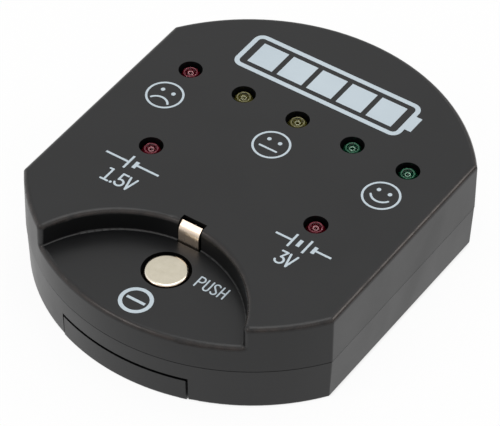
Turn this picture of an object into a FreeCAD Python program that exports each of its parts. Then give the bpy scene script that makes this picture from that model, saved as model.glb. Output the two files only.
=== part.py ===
import FreeCAD, Part
import math
import os

import Sketcher
from FreeCAD import Vector

# Pocket tester for button cells. Millimetres, +Z up, +X to the user's right, +Y away from the user.
# The origin is under the middle of the case, on the surface it stands on.

DRIVING_SIZES = [
    # Outline of the case: a circle cut by two flats.
    ("case_radius", 34.3),
    ("half_width", 28.0),
    ("case_height", 16.7),
    ("corner_round", 0.5),
    ("edge_round", 0.85),
    # Where the two halves meet, and the lip that lines them up.
    ("parting", 7.8),
    ("parting_gap", 0.16),
    ("lip_inset", 1.3),
    ("lip_height", 0.95),
    ("lip_play", 0.12),
    # Walls and the draft of the lower half.
    ("cover_wall", 1.9),
    ("top_thick", 1.8),
    ("base_wall", 2.2),
    ("base_floor", 1.6),
    ("base_step", 0.05),
    ("base_draft", 2.6),
    ("base_round", 0.35),
    # Sunken seat for the cell under test.
    ("seat_radius", 19.16),
    ("seat_forward", 35.0),
    ("seat_floor", 12.8),
    ("seat_thick", 1.5),
    ("seat_wall", 1.7),
    ("seat_root", 0.25),
    # Lights.
    ("light_hole", 1.9),
    ("light_pitch", 10.0),
    ("light_row", 12.69),
    ("kind_light_x", 15.0),
    ("kind_light_y", -4.9),
    ("lens_radius", 1.65),
    ("lens_height", 4.6),
    ("lens_depth", 0.25),
    ("rim_radius", 1.9),
    ("rim_height", 1.0),
    ("lead_size", 0.5),
    ("lead_pitch", 2.54),
    ("lead_hole", 0.45),
    ("lead_tail", 0.8),
    # Minus contact, its guide and its spring.
    ("button_y", -22.2),
    ("button_hole", 3.85),
    ("button_radius", 3.38),
    ("button_proud", 0.05),
    ("button_edge", 0.45),
    ("button_travel", 0.6),
    ("collar_radius", 4.52),
    ("collar_thick", 1.0),
    ("collar_gap", 0.3),
    ("guide_bore", 4.6),
    ("guide_wall", 1.0),
    ("guide_end", 8.4),
    ("stem_radius", 1.5),
    ("stem_gap", 0.1),
    ("coil_radius", 2.9),
    ("coil_wire", 0.25),
    ("coil_turns", 3.25),
    # Sprung side contact and its slot.
    ("strip_left", -2.1),
    ("strip_right", 1.52),
    ("strip_thick", 0.3),
    ("strip_front", -16.1),
    ("strip_bend", 1.8),
    ("strip_tab", 0.5),
    ("strip_top", 16.4),
    ("strip_end", -14.9),
    ("strip_foot", 7.5),
    ("tail_width", 2.2),
    ("tail_end", 5.75),
    ("tail_play", 0.15),
    ("slot_left", -2.28),
    ("slot_right", 1.9),
    ("slot_front", -16.35),
    ("slot_back", -14.3),
    # Circuit board and the electronics on it.
    ("board_under", 6.2),
    ("board_thick", 1.2),
    ("board_inset", 2.8),
    ("chip_length", 8.65),
    ("chip_width", 3.9),
    ("chip_height", 1.4),
    ("chip_lift", 0.15),
    ("chip_y", 2.0),
    ("leg_pitch", 1.27),
    ("leg_width", 0.4),
    ("leg_reach", 1.05),
    ("leg_rise", 0.75),
    ("leg_thick", 0.2),
    ("block_length", 2.0),
    ("block_width", 1.25),
    ("resistor_height", 0.5),
    ("resistor_row", 7.6),
    ("resistor_front", -9.4),
    ("capacitor_height", 0.9),
    ("capacitor_x", 8.0),
    ("capacitor_y", -3.0),
    # Screws of the case with their bosses, and screws of the board with their posts.
    ("boss_back_x", 17.5),
    ("boss_back_y", 23.0),
    ("boss_front_x", 22.6),
    ("boss_front_y", -13.0),
    ("boss_radius", 2.8),
    ("boss_joint", 9.0),
    ("boss_clear", 3.2),
    ("screw_head", 2.0),
    ("screw_head_height", 1.4),
    ("screw_seat", 3.0),
    ("screw_shank", 1.1),
    ("screw_tip", 13.0),
    ("post_back_x", 10.5),
    ("post_back_y", 25.5),
    ("post_front_x", 17.8),
    ("post_front_y", -21.0),
    ("post_radius", 2.2),
    ("small_head", 1.7),
    ("small_head_height", 1.2),
    ("small_shank", 0.8),
    ("small_tip", 2.6),
    ("screw_play", 0.1),
    # Battery door and the opening it closes.
    ("door_left", -12.2),
    ("door_right", 10.9),
    ("door_back", -6.4),
    ("door_window", 4.65),
    ("door_lip", 4.2),
    ("door_lip_thick", 2.0),
    ("door_thick", 2.0),
    ("door_gap", 0.3),
    ("door_draft", 1.6),
    ("rail_low", 0.8),
    ("rail_high", 1.3),
    ("rail_reach", 0.9),
    ("rail_play", 0.1),
    ("grip_first", -29.0),
    ("grip_width", 0.8),
    ("grip_length", 12.0),
    ("grip_depth", 0.4),
    ("grip_run", 6.4),
    # Bay for the tester's own coin cell, with the cell's two contacts.
    ("bay_wall", 1.4),
    ("bay_height", 5.3),
    ("bay_front", -27.7),
    ("bay_clear", 0.3),
    ("cell_x", -0.65),
    ("cell_y", -17.2),
    ("cell_under", 2.1),
    ("cell_radius", 10.0),
    ("cell_thick", 3.2),
    ("cell_cap", 8.6),
    ("cell_step", 0.5),
    ("clip_thick", 0.25),
    ("clip_width", 5.0),
    ("clip_foot", 3.4),
    ("clip_low", 2.6),
    ("spring_width", 3.0),
    ("spring_back", -19.0),
    ("spring_bend", -22.4),
    ("spring_front", -25.2),
]


class Size:
    """A length that knows its number and the sheet expression it comes from."""

    def __init__(self, number, text):
        self.number = number
        self.text = text

    @staticmethod
    def of(other):
        return other if isinstance(other, Size) else Size(float(other), str(float(other)))

    def joined(self, sign, other, number):
        return Size(number, "(" + self.text + " " + sign + " " + other.text + ")")

    def __add__(self, other):
        other = Size.of(other)
        return self.joined("+", other, self.number + other.number)

    def __sub__(self, other):
        other = Size.of(other)
        return self.joined("-", other, self.number - other.number)

    def __mul__(self, other):
        other = Size.of(other)
        return self.joined("*", other, self.number * other.number)

    def __truediv__(self, other):
        other = Size.of(other)
        return self.joined("/", other, self.number / other.number)

    def __neg__(self):
        return self * -1.0


doc = FreeCAD.newDocument("battery_tester")
sheet = doc.addObject("Spreadsheet::Sheet", "dims")
dim = {}
for row, (alias, number) in enumerate(DRIVING_SIZES, start=1):
    sheet.set("A%d" % row, alias)
    sheet.set("B%d" % row, str(number))
    sheet.setAlias("B%d" % row, alias)
    dim[alias] = Size(number, "dims." + alias)
doc.recompute()

ZERO = Size.of(0.0)
seat_y = -dim["seat_forward"]
seat_under = dim["seat_floor"] - dim["seat_thick"]
board_top = dim["board_under"] + dim["board_thick"]
cover_bottom = dim["parting"] + dim["parting_gap"] / 2
base_rim = dim["parting"] - dim["parting_gap"] / 2
lens_foot = dim["case_height"] - dim["lens_depth"] - dim["lens_height"]
collar_top = seat_under - dim["collar_gap"]
collar_low = collar_top - dim["collar_thick"]
bodies = []


def both_sides(x, y):
    return [(x, y), (-x, y)]


boss_spots = both_sides(dim["boss_back_x"], dim["boss_back_y"])
boss_spots += both_sides(dim["boss_front_x"], dim["boss_front_y"])
post_spots = both_sides(dim["post_back_x"], dim["post_back_y"])
post_spots += both_sides(dim["post_front_x"], dim["post_front_y"])

LIGHTS = [
    ("led_red_flat", dim["light_pitch"] * -2, dim["light_row"]),
    ("led_yellow_low", dim["light_pitch"] * -1, dim["light_row"]),
    ("led_yellow_half", dim["light_pitch"] * 0, dim["light_row"]),
    ("led_green_good", dim["light_pitch"] * 1, dim["light_row"]),
    ("led_green_full", dim["light_pitch"] * 2, dim["light_row"]),
    ("led_red_left", -dim["kind_light_x"], dim["kind_light_y"]),
    ("led_red_right", dim["kind_light_x"], dim["kind_light_y"]),
]


def bind(thing, path, size):
    thing.setExpression(path, size.text)


def new_body(label, many=False):
    body = doc.addObject("PartDesign::Body", label)
    body.Label = label
    body.AllowCompound = many
    bodies.append(body)
    return body


def place(body, x, y):
    bind(body, "Placement.Base.x", x)
    bind(body, "Placement.Base.y", y)


def new_sketch(body, role, level=ZERO):
    """An empty sketch on one of the body's own origin planes, moved along the plane's normal."""
    plane = [item for item in body.Origin.OriginFeatures if item.Role == role][0]
    sketch = body.newObject("Sketcher::SketchObject", body.Label + "_sketch")
    sketch.AttachmentSupport = (plane, [""])
    sketch.MapMode = "FlatFace"
    bind(sketch, "AttachmentOffset.Base.z", level)
    return sketch


def drive(sketch, kind, parts, size):
    number = sketch.addConstraint(Sketcher.Constraint(kind, *parts, size.number))
    bind(sketch, "Constraints[%d]" % number, size)


def pin_point(sketch, geometry, point, x, y):
    drive(sketch, "DistanceX", (-1, 1, geometry, point), x)
    drive(sketch, "DistanceY", (-1, 1, geometry, point), y)


def add_line(sketch, start, end):
    points = [Vector(x.number, y.number, 0) for x, y in (start, end)]
    return sketch.addGeometry(Part.LineSegment(*points))


def add_arc(sketch, x, y, radius, start, end):
    circle = Part.Circle(Vector(x, y, 0), Vector(0, 0, 1), radius)
    return sketch.addGeometry(Part.ArcOfCircle(circle, start, end))


def add_circle(sketch, x, y, radius):
    centre = Vector(x.number, y.number, 0)
    circle = sketch.addGeometry(Part.Circle(centre, Vector(0, 0, 1), radius.number))
    pin_point(sketch, circle, 3, x, y)
    drive(sketch, "Radius", (circle,), radius)


def add_polygon(sketch, corners):
    """A closed outline of straight lines through corners given as pairs of sizes."""
    count = len(corners)
    lines = [add_line(sketch, corners[i], corners[(i + 1) % count]) for i in range(count)]
    for i in range(count):
        sketch.addConstraint(Sketcher.Constraint("Coincident", lines[i], 2, lines[(i + 1) % count], 1))
        pin_point(sketch, lines[i], 1, *corners[i])


def add_rectangle(sketch, left, right, front, back):
    add_polygon(sketch, [(left, front), (right, front), (right, back), (left, back)])


def add_outline(sketch, inset, bite=None):
    """The case outline moved inwards: arcs about the origin, two flats, four small corner arcs.

    With a bite, the front arc is broken by an arc of that radius about the middle of the seat.
    """
    radius = dim["case_radius"] - inset
    width = dim["half_width"] - inset
    corner = dim["corner_round"]
    big, small = radius.number, corner.number
    centre_x = width.number - small
    centre_y = math.sqrt((big - small) ** 2 - centre_x ** 2)
    turn = math.atan2(centre_y, centre_x)
    pi = math.pi
    flat_end = Size.of(centre_y)

    def meet(before, after):
        sketch.addConstraint(Sketcher.Constraint("Tangent", before, 2, after, 1))

    back = add_arc(sketch, 0, 0, big, turn, pi - turn)
    back_left = add_arc(sketch, -centre_x, centre_y, small, pi - turn, pi)
    left = add_line(sketch, (-width, flat_end), (-width, -flat_end))
    front_left = add_arc(sketch, -centre_x, -centre_y, small, pi, pi + turn)
    front_right = add_arc(sketch, centre_x, -centre_y, small, 2 * pi - turn, 2 * pi)
    right = add_line(sketch, (width, -flat_end), (width, flat_end))
    back_right = add_arc(sketch, centre_x, centre_y, small, 0, turn)
    if bite is None:
        fronts = [add_arc(sketch, 0, 0, big, pi + turn, 2 * pi - turn)]
    else:
        middle = seat_y.number
        cross_y = (big ** 2 + middle ** 2 - bite.number ** 2) / (2 * middle)
        cross_x = math.sqrt(big ** 2 - cross_y ** 2)
        edge = math.atan2(-cross_y, cross_x)
        swing = math.atan2(cross_y - middle, cross_x)
        fronts = [
            add_arc(sketch, 0, 0, big, pi + turn, pi + edge),
            add_arc(sketch, 0, 0, big, 2 * pi - edge, 2 * pi - turn),
        ]
        seat = add_arc(sketch, 0, middle, bite.number, swing, pi - swing)
        sketch.addConstraint(Sketcher.Constraint("Coincident", fronts[0], 2, seat, 2))
        sketch.addConstraint(Sketcher.Constraint("Coincident", fronts[1], 1, seat, 1))
        pin_point(sketch, seat, 3, ZERO, seat_y)
        drive(sketch, "Radius", (seat,), bite)
    chain = [fronts[-1], front_right, right, back_right, back, back_left, left, front_left, fronts[0]]
    for before, after in zip(chain[:-1], chain[1:]):
        meet(before, after)
    for big_arc in {back, fronts[0], fronts[-1]}:
        sketch.addConstraint(Sketcher.Constraint("Coincident", big_arc, 3, -1, 1))
    drive(sketch, "Radius", (back,), radius)
    for small_arc in (back_left, front_left, front_right, back_right):
        drive(sketch, "Radius", (small_arc,), corner)
    drive(sketch, "DistanceX", (-1, 1, left, 1), -width)
    drive(sketch, "DistanceX", (-1, 1, right, 1), width)


def pad(body, sketch, length, down=False):
    feature = body.newObject("PartDesign::Pad", body.Label + "_pad")
    feature.Profile = sketch
    feature.Reversed = down
    bind(feature, "Length", length)
    doc.recompute()
    return feature


def pocket(body, sketch, depth, up=False):
    """Cuts from the sketch plane downwards, or upwards; something must really be removed."""
    before = body.Shape.Volume
    feature = body.newObject("PartDesign::Pocket", body.Label + "_pocket")
    feature.Profile = sketch
    feature.Reversed = up
    bind(feature, "Length", depth)
    doc.recompute()
    if before - body.Shape.Volume < 1e-4:
        raise RuntimeError("a pocket of " + body.Label + " removes nothing")
    return feature


def revolve(body, sketch):
    feature = body.newObject("PartDesign::Revolution", body.Label + "_turned")
    feature.Profile = sketch
    feature.ReferenceAxis = (sketch, ["V_Axis"])
    feature.Angle = 360.0
    doc.recompute()
    return feature


def repeat(body, feature, direction, length, count):
    row = body.newObject("PartDesign::LinearPattern", body.Label + "_row")
    row.Originals = [feature]
    row.Direction = direction
    row.Occurrences = count
    bind(row, "Length", length)
    body.Tip = row
    doc.recompute()
    return row


def round_edges(body, radius, wanted):
    """Rounds every edge of the body's present shape that the test accepts."""
    base = body.Tip
    names = ["Edge%d" % i for i, edge in enumerate(base.Shape.Edges, start=1) if wanted(edge)]
    if not names:
        raise RuntimeError("no edge to round on " + body.Label)
    feature = body.newObject("PartDesign::Fillet", body.Label + "_round")
    feature.Base = (base, names)
    bind(feature, "Radius", radius)
    doc.recompute()
    return feature


def level_edge(edge, height):
    heights = [edge.valueAt(edge.FirstParameter).z, edge.valueAt(edge.LastParameter).z]
    heights.append(edge.valueAt((edge.FirstParameter + edge.LastParameter) / 2).z)
    return all(abs(z - height) < 1e-4 for z in heights)


def make_top_cover():
    body = new_body("top_cover")
    ceiling = dim["case_height"] - dim["top_thick"]
    outline = new_sketch(body, "XY_Plane", cover_bottom)
    add_outline(outline, ZERO)
    pad(body, outline, dim["case_height"] - cover_bottom)

    # The seat is one round cut that breaks out through the front of the case.
    seat = new_sketch(body, "XY_Plane", dim["case_height"])
    add_circle(seat, ZERO, seat_y, dim["seat_radius"])
    pocket(body, seat, dim["case_height"] - dim["seat_floor"])
    floor_z = dim["seat_floor"].number
    top_z = dim["case_height"].number
    seat_centre = Vector(0, seat_y.number, floor_z)
    seat_reach = dim["seat_radius"].number

    def middle_of(edge):
        return edge.valueAt((edge.FirstParameter + edge.LastParameter) / 2)

    def seat_corner(edge):
        out = middle_of(edge).distanceToPoint(seat_centre) - seat_reach
        return level_edge(edge, floor_z) and abs(out) < 1e-3

    def outer_rim(edge):
        middle = middle_of(edge)
        at_front = math.hypot(middle.x, middle.y) > dim["case_radius"].number - 1e-3
        return level_edge(edge, top_z) or (level_edge(edge, floor_z) and at_front)

    # The foot of the seat's wall first: the rim then runs on smoothly up both ends of the wall.
    round_edges(body, dim["seat_root"], seat_corner)
    round_edges(body, dim["edge_round"], outer_rim)

    # Inside: low under the seat, high everywhere else, with a wall left standing around the seat.
    low_room = new_sketch(body, "XY_Plane", cover_bottom)
    add_outline(low_room, dim["cover_wall"])
    pocket(body, low_room, seat_under - cover_bottom, up=True)
    high_room = new_sketch(body, "XY_Plane", seat_under)
    add_outline(high_room, dim["cover_wall"], bite=dim["seat_radius"] + dim["seat_wall"])
    pocket(body, high_room, ceiling - seat_under, up=True)
    rebate = new_sketch(body, "XY_Plane", cover_bottom)
    add_outline(rebate, dim["lip_inset"] - dim["lip_play"])
    pocket(body, rebate, dim["lip_height"] + dim["lip_play"], up=True)

    bosses = new_sketch(body, "XY_Plane", dim["boss_joint"])
    pilots = new_sketch(body, "XY_Plane", dim["boss_joint"])
    for x, y in boss_spots:
        add_circle(bosses, x, y, dim["boss_radius"])
        add_circle(pilots, x, y, dim["screw_shank"] + dim["screw_play"])
    pad(body, bosses, ceiling - dim["boss_joint"])
    pocket(body, pilots, dim["screw_tip"] - dim["boss_joint"] + dim["screw_play"], up=True)

    guide = new_sketch(body, "XY_Plane", dim["guide_end"])
    add_circle(guide, ZERO, dim["button_y"], dim["guide_bore"])
    add_circle(guide, ZERO, dim["button_y"], dim["guide_bore"] + dim["guide_wall"])
    pad(body, guide, seat_under - dim["guide_end"])

    button_hole = new_sketch(body, "XY_Plane", dim["seat_floor"])
    add_circle(button_hole, ZERO, dim["button_y"], dim["button_hole"])
    pocket(body, button_hole, dim["seat_thick"])
    light_holes = new_sketch(body, "XY_Plane", dim["case_height"])
    for name, x, y in LIGHTS:
        add_circle(light_holes, x, y, dim["light_hole"])
    pocket(body, light_holes, dim["top_thick"])
    slot = new_sketch(body, "XY_Plane", dim["case_height"])
    add_rectangle(slot, dim["slot_left"], dim["slot_right"], dim["slot_front"], dim["slot_back"])
    pocket(body, slot, dim["case_height"] - seat_under)


def shell_block(body, draft):
    """Solid lower half: the case outline, its sides drawn in from the parting line to the bottom."""
    outline = new_sketch(body, "XY_Plane")
    add_outline(outline, dim["base_step"])
    block = pad(body, outline, base_rim)
    faces = list(enumerate(block.Shape.Faces, start=1))
    sides = ["Face%d" % i for i, face in faces if abs(face.normalAt(0, 0).z) < 0.5]
    tops = ["Face%d" % i for i, face in faces if face.CenterOfMass.z > base_rim.number - 1e-4]
    lean = body.newObject("PartDesign::Draft", body.Label + "_draft")
    lean.Base = (block, sides)
    lean.NeutralPlane = (block, tops)
    lean.Reversed = True
    bind(lean, "Angle", draft)
    doc.recompute()
    round_edges(body, dim["base_round"], lambda edge: level_edge(edge, 0.0))


def make_base_shell():
    body = new_body("base_shell")
    shell_block(body, dim["base_draft"])
    room = new_sketch(body, "XY_Plane", base_rim)
    add_outline(room, dim["base_wall"])
    pocket(body, room, base_rim - dim["base_floor"])
    lip = new_sketch(body, "XY_Plane", base_rim)
    add_outline(lip, dim["lip_inset"])
    add_outline(lip, dim["base_wall"])
    pad(body, lip, dim["lip_height"])

    # Bay for the coin cell, open below where the door goes, with a bar across its front.
    left, right = dim["door_left"], dim["door_right"]
    wall = dim["bay_wall"]
    bay = new_sketch(body, "XY_Plane", dim["base_floor"])
    add_rectangle(bay, left - wall, right + wall, dim["bay_front"] - wall, dim["door_back"] + wall)
    add_rectangle(bay, left, right, dim["bay_front"], dim["door_back"])
    pad(body, bay, dim["bay_height"] - dim["base_floor"])
    ahead = -dim["case_radius"] - 1.0
    window = new_sketch(body, "XY_Plane")
    add_rectangle(window, left, right, ahead, dim["door_back"])
    pocket(body, window, dim["door_thick"] + dim["bay_clear"], up=True)
    mouth = new_sketch(body, "XY_Plane")
    add_rectangle(mouth, left, right, ahead, dim["bay_front"] - wall)
    pocket(body, mouth, dim["door_window"], up=True)

    # Rails on both edges of the door's opening.
    rails = new_sketch(body, "XY_Plane", dim["rail_low"])
    reach = dim["rail_reach"]
    add_rectangle(rails, left, left + reach, dim["bay_front"], dim["door_back"])
    add_rectangle(rails, right - reach, right, dim["bay_front"], dim["door_back"])
    pad(body, rails, dim["rail_high"] - dim["rail_low"])

    columns = new_sketch(body, "XY_Plane", dim["base_floor"])
    shafts = new_sketch(body, "XY_Plane")
    head_wells = new_sketch(body, "XY_Plane")
    for x, y in boss_spots:
        add_circle(columns, x, y, dim["boss_radius"])
        add_circle(shafts, x, y, dim["screw_shank"] + dim["screw_play"] * 2)
        add_circle(head_wells, x, y, dim["screw_head"] + dim["screw_play"] * 2)
    pad(body, columns, dim["boss_joint"] - dim["base_floor"])
    pocket(body, shafts, dim["boss_joint"], up=True)
    pocket(body, head_wells, dim["screw_seat"], up=True)

    posts = new_sketch(body, "XY_Plane", dim["base_floor"])
    pilots = new_sketch(body, "XY_Plane", dim["board_under"])
    for x, y in post_spots:
        add_circle(posts, x, y, dim["post_radius"])
        add_circle(pilots, x, y, dim["small_shank"] + dim["screw_play"])
    pad(body, posts, dim["board_under"] - dim["base_floor"])
    pocket(body, pilots, dim["board_under"] - dim["small_tip"] + dim["screw_play"])


def make_battery_door():
    body = new_body("battery_door")
    shell_block(body, dim["door_draft"])
    gap = dim["door_gap"]
    left, right = dim["door_left"] + gap, dim["door_right"] - gap
    back = dim["door_back"] - gap
    far = dim["case_radius"] + 2.0
    around = new_sketch(body, "XY_Plane")
    add_rectangle(around, -far, far, -far, far)
    add_rectangle(around, left, right, -far + 1.0, back)
    pocket(body, around, dim["parting"], up=True)
    above_lip = new_sketch(body, "XY_Plane", dim["door_lip"])
    add_rectangle(above_lip, -far, far, -far, far)
    pocket(body, above_lip, dim["parting"], up=True)
    behind_lip = new_sketch(body, "XY_Plane", dim["door_thick"])
    add_outline(behind_lip, dim["door_lip_thick"])
    pocket(body, behind_lip, dim["parting"], up=True)

    # Grooves that run on the rails, open at the back.
    grooves = new_sketch(body, "XY_Plane", dim["rail_low"] - dim["rail_play"])
    depth = dim["rail_reach"] - gap + dim["rail_play"]
    front = dim["bay_front"] - gap
    add_rectangle(grooves, left - 1.0, left + depth, front, back + 1.0)
    add_rectangle(grooves, right - depth, right + 1.0, front, back + 1.0)
    pocket(body, grooves, dim["rail_high"] - dim["rail_low"] + dim["rail_play"] * 2, up=True)

    # Finger grip underneath: one groove, repeated.
    grip = new_sketch(body, "XY_Plane")
    middle = (dim["door_left"] + dim["door_right"]) / 2
    half = dim["grip_length"] / 2
    add_rectangle(grip, middle - half, middle + half, dim["grip_first"], dim["grip_first"] + dim["grip_width"])
    groove = pocket(body, grip, dim["grip_depth"], up=True)
    repeat(body, groove, (grip, ["V_Axis"]), dim["grip_run"], 5)


def make_circuit_board():
    body = new_body("circuit_board")
    outline = new_sketch(body, "XY_Plane", dim["board_under"])
    add_outline(outline, dim["board_inset"])
    pad(body, outline, dim["board_thick"])
    notches = new_sketch(body, "XY_Plane", board_top)
    for x, y in boss_spots:
        add_circle(notches, x, y, dim["boss_clear"])
    pocket(body, notches, dim["board_thick"])
    holes = new_sketch(body, "XY_Plane", board_top)
    half_pitch = dim["lead_pitch"] / 2
    for name, x, y in LIGHTS:
        add_circle(holes, x - half_pitch, y, dim["lead_hole"])
        add_circle(holes, x + half_pitch, y, dim["lead_hole"])
    for x, y in post_spots:
        add_circle(holes, x, y, dim["small_shank"] + dim["screw_play"] * 2)
    half_tail = dim["tail_width"] / 2 + dim["tail_play"]
    tail_front = dim["strip_front"] - dim["tail_play"]
    tail_back = dim["strip_front"] + dim["strip_thick"] + dim["tail_play"]
    add_rectangle(holes, -half_tail, half_tail, tail_front, tail_back)
    pocket(body, holes, dim["board_thick"])


def make_light(label, x, y):
    """One lens: a rim, a straight body and a round dome, turned about its own axis."""
    body = new_body(label)
    section = new_sketch(body, "XZ_Plane")
    radius, rim = dim["lens_radius"], dim["rim_radius"]
    shoulder = lens_foot + dim["rim_height"]
    dome_level = lens_foot + dim["lens_height"] - radius
    corners = [(ZERO, lens_foot), (rim, lens_foot), (rim, shoulder), (radius, shoulder), (radius, dome_level)]
    chain = [add_line(section, corners[i], corners[i + 1]) for i in range(4)]
    chain.append(add_arc(section, 0, dome_level.number, radius.number, 0, math.pi / 2))
    chain.append(add_line(section, (ZERO, dome_level + radius), corners[0]))
    for i in range(6):
        section.addConstraint(Sketcher.Constraint("Coincident", chain[i], 2, chain[(i + 1) % 6], 1))
    for i in range(5):
        pin_point(section, chain[i], 1, *corners[i])
    pin_point(section, chain[4], 3, ZERO, dome_level)
    section.addConstraint(Sketcher.Constraint("Vertical", chain[5]))
    revolve(body, section)
    place(body, x, y)


def make_led_leads():
    body = new_body("led_leads", many=True)
    bottom = dim["board_under"] - dim["lead_tail"]
    legs = new_sketch(body, "XY_Plane", bottom)
    half = dim["lead_size"] / 2
    for name, x, y in LIGHTS:
        for leg_x in (x - dim["lead_pitch"] / 2, x + dim["lead_pitch"] / 2):
            add_rectangle(legs, leg_x - half, leg_x + half, y - half, y + half)
    pad(body, legs, lens_foot - bottom)


def make_contact_button():
    """Turned contact: flat face with a rounded edge, collar under the seat, short stem."""
    body = new_body("contact_button")
    top = dim["seat_floor"] + dim["button_proud"]
    stem_end = board_top + dim["button_travel"] + dim["stem_gap"]
    section = new_sketch(body, "XZ_Plane")
    add_polygon(section, [
        (ZERO, stem_end), (dim["stem_radius"], stem_end), (dim["stem_radius"], collar_low),
        (dim["collar_radius"], collar_low), (dim["collar_radius"], collar_top),
        (dim["button_radius"], collar_top), (dim["button_radius"], top), (ZERO, top),
    ])
    revolve(body, section)
    round_edges(body, dim["button_edge"], lambda edge: level_edge(edge, top.number))
    place(body, ZERO, dim["button_y"])


def make_button_spring():
    body = new_body("button_spring")
    wire = dim["coil_wire"]
    section = new_sketch(body, "XZ_Plane")
    add_circle(section, dim["coil_radius"], board_top + wire, wire)
    coil = body.newObject("PartDesign::AdditiveHelix", "coil")
    coil.Profile = section
    coil.ReferenceAxis = (section, ["V_Axis"])
    coil.Mode = "height-turns-angle"
    bind(coil, "Height", collar_low - board_top - wire * 2)
    bind(coil, "Turns", dim["coil_turns"])
    doc.recompute()
    place(body, ZERO, dim["button_y"])


def make_side_contact():
    """Spring strip that stands in the slot, its top bent back; a narrow tail goes into the board."""
    body = new_body("side_contact")
    thick = dim["strip_thick"]
    line_y = dim["strip_front"] + thick / 2
    line_top = dim["strip_top"] - thick / 2
    bend = dim["strip_bend"] - thick / 2
    path = new_sketch(body, "YZ_Plane")
    # The lean of the tab is a first guess: the tangents settle it once the end of the tab is pinned.
    lean = math.radians(58)
    tab_y = dim["strip_end"] - dim["strip_tab"] * math.sin(lean)
    tab_z = line_top - dim["strip_tab"] * math.cos(lean)
    bend_y, bend_z = line_y + bend, tab_z - bend * math.sin(lean)
    rise = add_line(path, (line_y, dim["strip_foot"]), (line_y, bend_z))
    curve = add_arc(path, bend_y.number, bend_z.number, bend.number, math.pi - lean, math.pi)
    tip = add_line(path, (tab_y, tab_z), (dim["strip_end"], line_top))
    path.addConstraint(Sketcher.Constraint("Tangent", rise, 2, curve, 2))
    path.addConstraint(Sketcher.Constraint("Tangent", curve, 1, tip, 1))
    path.addConstraint(Sketcher.Constraint("Vertical", rise))
    drive(path, "Radius", (curve,), bend)
    drive(path, "Distance", (tip,), dim["strip_tab"])
    pin_point(path, rise, 1, line_y, dim["strip_foot"])
    pin_point(path, tip, 2, dim["strip_end"], line_top)
    section = new_sketch(body, "XY_Plane", dim["strip_foot"])
    add_rectangle(section, dim["strip_left"], dim["strip_right"], dim["strip_front"], dim["strip_front"] + thick)
    strip = body.newObject("PartDesign::AdditivePipe", "bent_strip")
    strip.Profile = section
    strip.Spine = (path, ["Edge1", "Edge2", "Edge3"])
    doc.recompute()
    half_tail = dim["tail_width"] / 2
    tail = new_sketch(body, "XY_Plane", dim["strip_foot"])
    add_rectangle(tail, -half_tail, half_tail, dim["strip_front"], dim["strip_front"] + thick)
    pad(body, tail, dim["strip_foot"] - dim["tail_end"], down=True)


def make_coin_cell():
    """Stepped disc: the wide can below, the smaller cap above."""
    body = new_body("coin_cell")
    low = dim["cell_under"]
    step = low + dim["cell_thick"] - dim["cell_step"]
    top = low + dim["cell_thick"]
    section = new_sketch(body, "XZ_Plane")
    add_polygon(section, [
        (ZERO, low), (dim["cell_radius"], low), (dim["cell_radius"], step),
        (dim["cell_cap"], step), (dim["cell_cap"], top), (ZERO, top),
    ])
    revolve(body, section)
    place(body, dim["cell_x"], dim["cell_y"])


def make_cell_plus_clip():
    """Bent clip: a foot under the board and a tab that bears on the side of the cell."""
    body = new_body("cell_plus_clip")
    thick = dim["clip_thick"]
    under = dim["board_under"]
    front = dim["cell_y"] + dim["cell_radius"]
    back = front + dim["clip_foot"]
    profile = new_sketch(body, "YZ_Plane", dim["cell_x"] - dim["clip_width"] / 2)
    add_polygon(profile, [
        (front, under), (front, dim["clip_low"]), (front + thick, dim["clip_low"]),
        (front + thick, under - thick), (back, under - thick), (back, under),
    ])
    pad(body, profile, dim["clip_width"])


def make_cell_minus_spring():
    """Leaf spring: a foot under the board and an arm that slopes down onto the cell's cap."""
    body = new_body("cell_minus_spring")
    thick = dim["clip_thick"]
    under = dim["board_under"]
    touch = dim["cell_under"] + dim["cell_thick"]
    front, bend, back = dim["spring_front"], dim["spring_bend"], dim["spring_back"]
    profile = new_sketch(body, "YZ_Plane", dim["cell_x"] - dim["spring_width"] / 2)
    add_polygon(profile, [
        (front, under), (front, under - thick), (bend, under - thick), (back - 0.7, touch),
        (back, touch), (back, touch + thick), (back - 0.7, touch + thick), (bend, under),
    ])
    pad(body, profile, dim["spring_width"])


def make_controller_chip():
    body = new_body("controller_chip")
    half = dim["chip_length"] / 2
    depth = dim["chip_width"] / 2
    outline = new_sketch(body, "XY_Plane", board_top + dim["chip_lift"])
    add_rectangle(outline, -half, half, -depth, depth)
    pad(body, outline, dim["chip_height"])
    place(body, ZERO, dim["chip_y"])


def make_chip_legs():
    """Bent legs on both long sides: a pair of profiles, padded once and repeated along the chip."""
    body = new_body("chip_legs", many=True)
    thick = dim["leg_thick"]
    near = dim["chip_width"] / 2
    far = near + dim["leg_reach"]
    knee = near + thick * 2
    top = board_top + dim["leg_rise"]
    profile = new_sketch(body, "YZ_Plane", dim["leg_pitch"] * -3 - dim["leg_width"] / 2)
    corners = [
        (near, top), (knee, top), (knee, board_top + thick), (far, board_top + thick),
        (far, board_top), (knee - thick, board_top), (knee - thick, top - thick), (near, top - thick),
    ]
    add_polygon(profile, corners)
    add_polygon(profile, [(-y, z) for y, z in corners])
    legs = pad(body, profile, dim["leg_width"])
    repeat(body, legs, (profile, ["N_Axis"]), dim["leg_pitch"] * 6, 7)
    place(body, ZERO, dim["chip_y"])


def make_blocks(label, spots, height):
    """Small square-cut components lying on the board, one group."""
    body = new_body(label, many=True)
    outline = new_sketch(body, "XY_Plane", board_top)
    half, depth = dim["block_length"] / 2, dim["block_width"] / 2
    for x, y in spots:
        add_rectangle(outline, x - half, x + half, y - depth, y + depth)
    pad(body, outline, height)


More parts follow.
